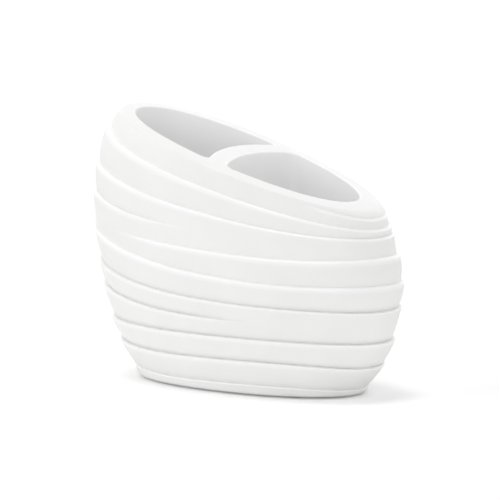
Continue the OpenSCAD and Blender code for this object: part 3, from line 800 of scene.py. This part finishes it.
# A loop of the rounded mouth, from the rim inward and down
def mouthLoop(side, turnShare):
    angle = turnShare * quarterTurn
    grow = vessel["mouthRound"] * (1 - math.sin(angle))
    heights = np.full(loopPoints, float(vessel["rimHeight"]))
    for _ in range(vessel["tries"]):
        heights = (heights + rimPlane(pocketLoop(side, heights, grow)[:, 0]) + vessel["rimCrown"]) / 2
    return pocketLoop(side, heights - vessel["mouthRound"] * (1 - math.cos(angle)), grow)


def pocketLoops(side):
    loops = [mouthLoop(side, t) for t in np.linspace(0, 1, vessel["mouthLoops"])]
    floorRound = vessel["floorRound"]
    top = loops[-1][:, 2]
    low = floorLevel + floorRound
    for t in np.linspace(0, 1, vessel["wallLoops"])[1:-1]:
        loops.append(pocketLoop(side, top + (low - top) * t, 0.0))
    for angle in np.linspace(0, quarterTurn, vessel["floorLoops"]):
        level = np.full(loopPoints, low - floorRound * math.sin(angle))
        loops.append(pocketLoop(side, level, -floorRound * (1 - math.cos(angle))))
    return np.array(loops)


shift = np.array([vessel["baseShift"], 0, 0])
pockets = {side: (pocketLoops(side) + shift) * millimetre for side in (-1, 1)}


# Height of the rim in metres at some points, with a share of its crown
def crowned(places, share):
    plane = rimPlane(places[..., 0] / millimetre - vessel["baseShift"])
    return (plane + vessel["rimCrown"] * share) * millimetre


# Top of the rim between an outer line and an inner line, crowned towards the mouths
def rimStrip(outer, inner):
    rows = []
    for t in np.linspace(0, 1, vessel["rimSteps"]):
        row = outer * (1 - t) + inner * t
        if 0 < t < 1:
            row[:, 2] = crowned(row, 1 - (1 - t) ** vessel["crownPower"])
        rows.append(row)
    return np.array(rows)


# Points of the wall's top ring, from the first one round by steps of 1 or -1
def edgePart(first, step, count):
    return wallGrid[0][(first + step * np.arange(count)) % around]


# The rim: round each pocket, over the divider, and from the divider's two ends to the wall
highMouth, lowMouth = pockets[-1][0], pockets[1][0]
back, front, dividerPoints = around // 4, around - around // 4, 2 * dividerSteps + 1
across = np.linspace(0, 1, dividerPoints)[:, None, None]
chain = [wallSteps + c if c < chainSteps else 0 for c in range(chainSteps + 1)]
bridge = lowMouth[chain][None] * (1 - across) + highMouth[chain][None] * across
bridge[1:-1, :, 2] = crowned(bridge[1:-1], 1)
strips = [
    rimStrip(edgePart(back + dividerSteps, 1, wallSteps + 1), highMouth[:wallSteps + 1]),
    rimStrip(edgePart(back - dividerSteps, -1, wallSteps + 1), lowMouth[:wallSteps + 1]),
    bridge,
    rimStrip(edgePart(back - dividerSteps, 1, dividerPoints), bridge[:, -1]),
    rimStrip(edgePart(front + dividerSteps, -1, dividerPoints), bridge[:, 0]),
]

# One mesh of all the grids: the wall and the pockets close on themselves, and nothing rises above the
# part's top
points, faces = [], []
roof = [np.inf, np.inf, cadBox[1][2]]
closedGrids = [wallGrid, pockets[-1], pockets[1]]
for place, grid in enumerate(closedGrids + strips):
    base, closed = len(points), place < len(closedGrids)
    rowCount, columnCount = grid.shape[:2]
    points.extend(np.minimum(grid.reshape(-1, 3), roof).tolist())
    for row in range(base, base + (rowCount - 1) * columnCount, columnCount):
        below = row + columnCount
        for column in range(columnCount if closed else columnCount - 1):
            beside = (column + 1) % columnCount
            faces.append([row + column, row + beside, below + beside, below + column])
    if closed:
        faces.append(list(range(len(points) - columnCount, len(points))))
gridMesh = bpy.data.meshes.new("vesselGrids")
gridMesh.from_pydata(points, [], faces)
# The rim is slightly polished, and the pockets fully, as they come from a polished core; the same trace
# paints the rim lighter, a painted highlight, and the pockets lighter, painted light against the shade in
# them
fills = {"lip": [vessel["rimPolishAndHighlight"], 1.0], "crease": [0, 0]}
wallPoints, pocketPoints = rings.size, 2 * len(pockets[1]) * loopPoints
for label, (onStrips, inPockets) in fills.items():
    trace = np.full(len(points), onStrips, np.float32)
    trace[wallPoints:wallPoints + pocketPoints] = inPockets
    trace[rings * around + slots] = traces[label]
    gridMesh.attributes.new(label, "FLOAT", "POINT").data.foreach_set("value", trace)


# Joins what meets in a bmesh and makes it an object, smooth but for its sharp edges
def makePiece(name, shell, material, look):
    bmesh.ops.remove_doubles(shell, verts=shell.verts, dist=look["mergeWithin"] * millimetre)
    bmesh.ops.recalc_face_normals(shell, faces=shell.faces)
    openEdges = sum(1 for edge in shell.edges if len(edge.link_faces) != 2)
    mesh = bpy.data.meshes.new(name)
    shell.to_mesh(mesh)
    shell.free()
    mesh.shade_smooth()
    mesh.set_sharp_from_angle(angle=math.radians(look["sharpAngle"]))
    mesh.materials.append(material)
    print(name, "made:", len(mesh.polygons), "faces,", openEdges, "open edges")
    return addObject(name, mesh)


shell = bmesh.new()
shell.from_mesh(gridMesh)
vesselPiece = makePiece("vesselCast", shell, castResin, vessel)
bpy.data.meshes.remove(gridMesh)
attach(vesselPiece, "root")
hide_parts("vessel")
print("vessel placed")


# The anti-slip pads, spun from one profile
pad = {
    "edgeRound": 0.22,
    "edgeSteps": 6,
    "dish": 0.05,
    "dishShares": (0.80, 0.72),  # of the radius, where the hollow underneath starts and where it is full
    "segments": 48,
    "mergeWithin": 0.001,
    "sharpAngle": 40,
}
for name in ("foot_pad_front_left", "foot_pad_front_right", "foot_pad_back_left", "foot_pad_back_right"):
    low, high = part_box(name)
    centre, radius, top = (low + high) / 2, (high.x - low.x) / 2, high.z
    edge, dish = pad["edgeRound"] * millimetre, pad["dish"] * millimetre
    straight = radius - edge
    # Profile from the top's middle, out over the edge and back under, where the pad is slightly dished
    angles = np.linspace(0, quarterTurn, pad["edgeSteps"])
    outline = [(0.0, top)]
    outline += [(straight + edge * math.sin(t), top - edge + edge * math.cos(t)) for t in angles]
    outline += [(straight + edge * math.cos(t), low.z + edge - edge * math.sin(t)) for t in angles]
    hollowStart, hollowFull = (share * radius for share in pad["dishShares"])
    outline += [(hollowStart, low.z), (hollowFull, low.z + dish), (0.0, low.z + dish)]
    padShape = bmesh.new()
    made = [padShape.verts.new((centre.x + r, centre.y, z)) for r, z in outline]
    lines = [padShape.edges.new((a, b)) for a, b in zip(made, made[1:])]
    bmesh.ops.spin(padShape, geom=made + lines, cent=(centre.x, centre.y, 0), axis=(0, 0, 1),
                   angle=2 * math.pi, steps=pad["segments"], use_duplicate=False)
    padPiece = makePiece("rubber_" + name, padShape, padRubber, pad)
    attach(padPiece, "root")
    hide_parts(name)
print("pads placed")
